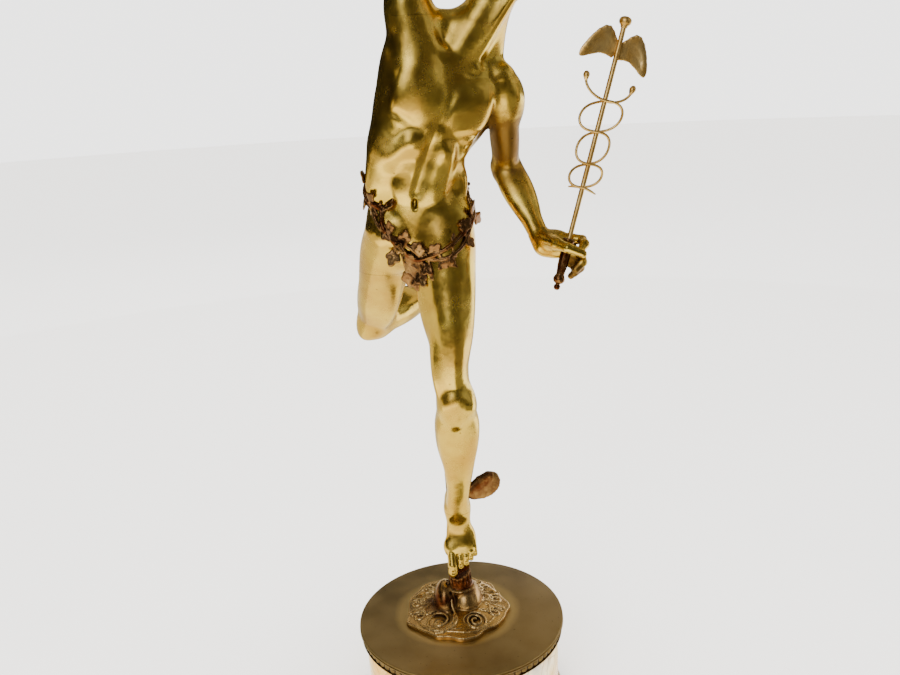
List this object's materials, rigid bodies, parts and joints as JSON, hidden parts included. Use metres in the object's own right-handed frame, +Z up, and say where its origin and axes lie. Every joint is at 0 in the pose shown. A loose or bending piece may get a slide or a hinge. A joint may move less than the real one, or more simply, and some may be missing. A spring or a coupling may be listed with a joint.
{
  "type": "bronze mercury statuette",
  "caption": "Polished brass winged messenger poised on the toes of one foot over a puff of wind, holding a serpent staff, on a round marble and brass plinth.",
  "frame": {"origin": "centre of the plinth's round underside", "axes": "+Z up, -Y towards the figure's front as the picture shows it, +X towards the figure's left arm and the staff"},
  "size_m": [0.2805, 0.3451, 0.8542],
  "materials": {
    "polished_bronze": "highly polished cast metal with dark reflections and fine scratches",
    "brown_bronze": "red-brown patinated cast metal, rubbed bright on the high spots",
    "worn_bronze": "aged semi-gloss golden brown metal",
    "satin_brass": "satin olive-brown plate with worn bright edges",
    "siena_marble": "polished yellow marble with grey and cream clouds"
  },
  "bodies": {
    "root": {"figure": "polished_bronze", "vine_girdle": "brown_bronze", "ankle_wing_left_1": "brown_bronze", "ankle_wing_left_2": "brown_bronze", "ankle_wing_right_1": "brown_bronze", "ankle_wing_right_2": "brown_bronze", "hat_wing_left": "worn_bronze", "hat_wing_right": "worn_bronze", "caduceus_staff": "worn_bronze", "caduceus_wings": "worn_bronze", "serpent_left": "worn_bronze", "serpent_right": "worn_bronze", "wind_puff": "brown_bronze", "top_plate": "satin_brass", "milled_band": "satin_brass", "marble_drum": "siena_marble", "foot_ring": "satin_brass"}
  },
  "joints": []
}
